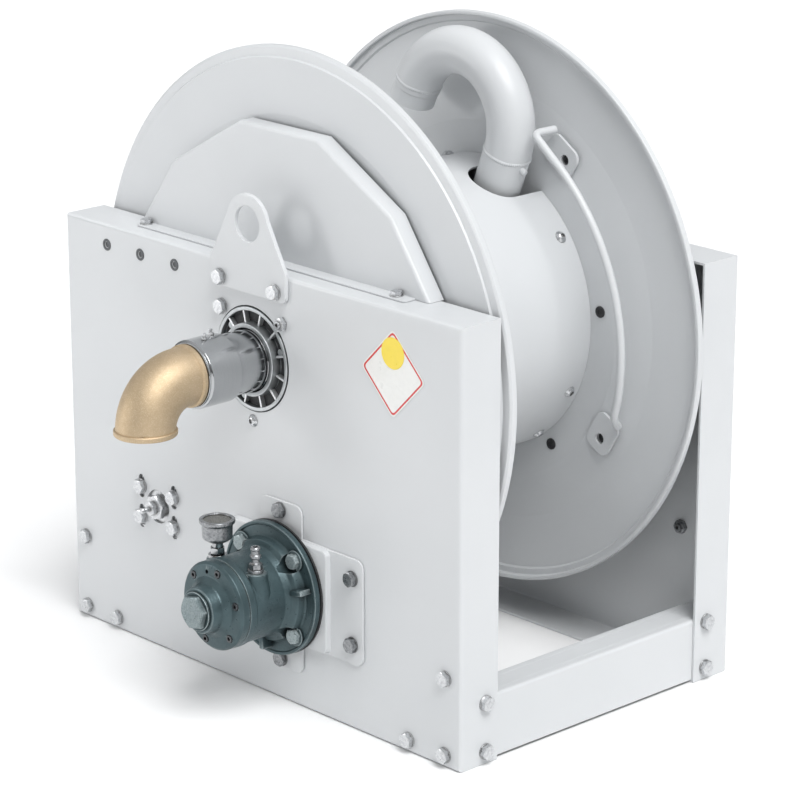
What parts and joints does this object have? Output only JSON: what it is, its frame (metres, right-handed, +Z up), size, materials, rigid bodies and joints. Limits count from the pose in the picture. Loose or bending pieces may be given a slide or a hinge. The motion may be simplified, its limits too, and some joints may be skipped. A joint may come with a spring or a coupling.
{
  "type": "motor-driven hose reel",
  "caption": "Open hose reel between two sheet panels: hollow shaft, swivel elbow inlet, goose-neck outlet, vane motor and guarded chain drive.",
  "frame": {"origin": "on the ground, under the middle of the bounding box", "axes": "+Z up; +Y along the axle from the front panel, which carries the motor and the inlet, to the rear panel; +X to the right seen from the front"},
  "size_m": [0.74, 0.6808, 0.796],
  "materials": {
    "paint_light_grey": "satin powder coat",
    "machined_steel": "turned",
    "zinc_plate": "bright zinc plate",
    "cast_aluminium": "as cast",
    "motor_cast": "teal grey paint on a casting",
    "dark_steel": "oiled",
    "cast_brass": "blasted",
    "rubber": "matte",
    "label_film": "gloss film"
  },
  "bodies": {
    "frame": {"front_panel": "paint_light_grey", "rear_panel": "paint_light_grey", "left_beam": "paint_light_grey", "right_beam": "paint_light_grey", "front_lug": "paint_light_grey", "rear_lug": "paint_light_grey", "guard_cover": "paint_light_grey", "front_hub": "cast_aluminium", "rear_hub": "cast_aluminium", "front_bearing": "machined_steel", "rear_bearing": "machined_steel", "label_plate": "label_film", "motor_bracket": "paint_light_grey", "motor_gasket": "rubber", "motor_body": "motor_cast", "motor_cover": "motor_cast", "motor_plug": "motor_cast", "silencer_neck": "machined_steel", "silencer_cup": "zinc_plate", "silencer_mesh": "dark_steel", "air_nipple": "machined_steel", "chain": "dark_steel", "lug_bolt_1": "zinc_plate", "lug_bolt_2": "zinc_plate", "hub_bolt_1": "zinc_plate", "hub_bolt_2": "zinc_plate", "hub_bolt_3": "zinc_plate", "bracket_bolt_1": "zinc_plate", "bracket_bolt_2": "zinc_plate", "bracket_bolt_3": "zinc_plate", "bracket_bolt_4": "zinc_plate", "motor_bolt_1": "motor_cast", "motor_bolt_2": "motor_cast", "motor_bolt_3": "motor_cast", "motor_bolt_4": "motor_cast"},
    "reel": {"front_disc": "paint_light_grey", "rear_disc": "paint_light_grey", "drum_shell": "paint_light_grey", "reel_shaft": "machined_steel", "drive_sprocket": "dark_steel", "riser_pipe": "paint_light_grey", "goose_neck": "paint_light_grey", "retaining_rod": "paint_light_grey", "rod_bracket_upper": "paint_light_grey", "rod_bracket_lower": "paint_light_grey"},
    "inlet": {"swivel_sleeve": "machined_steel", "swivel_seal": "rubber", "brass_elbow": "cast_brass"},
    "motor_drive": {"motor_shaft": "machined_steel", "motor_rotor": "dark_steel", "motor_sprocket": "dark_steel"},
    "tensioner": {"tensioner_plate": "zinc_plate", "tensioner_shaft": "zinc_plate", "tensioner_bolt_1": "zinc_plate", "tensioner_bolt_2": "zinc_plate", "tensioner_bolt_3": "zinc_plate", "tensioner_bolt_4": "zinc_plate"},
    "idler": {"idler_sprocket": "dark_steel"}
  },
  "joints": [
    {"name": "reel_spin", "type": "hinge", "parent": "frame", "child": "reel", "pos_m": [0, 0.0984, 0.426], "axis": [0, 1, 0], "continuous": true},
    {"name": "inlet_swivel", "type": "hinge", "parent": "frame", "child": "inlet", "pos_m": [0, -0.2116, 0.426], "axis": [0, 1, 0], "continuous": true},
    {"name": "motor_spin", "type": "hinge", "parent": "frame", "child": "motor_drive", "pos_m": [0.052, -0.1356, 0.152], "axis": [0, 1, 0], "continuous": true},
    {"name": "tension_slide", "type": "slide", "parent": "frame", "child": "tensioner", "axis": [0, 0, 1], "range_m": [0, 0.008]},
    {"name": "idler_spin", "type": "hinge", "parent": "tensioner", "child": "idler", "pos_m": [-0.1873, -0.0781, 0.19], "axis": [0, 1, 0], "continuous": true}
  ],
  "couplings": [
    {"joint": "motor_spin", "follows": "reel_spin", "ratio": 6.7692},
    {"joint": "idler_spin", "follows": "reel_spin", "ratio": 6.7692}
  ]
}
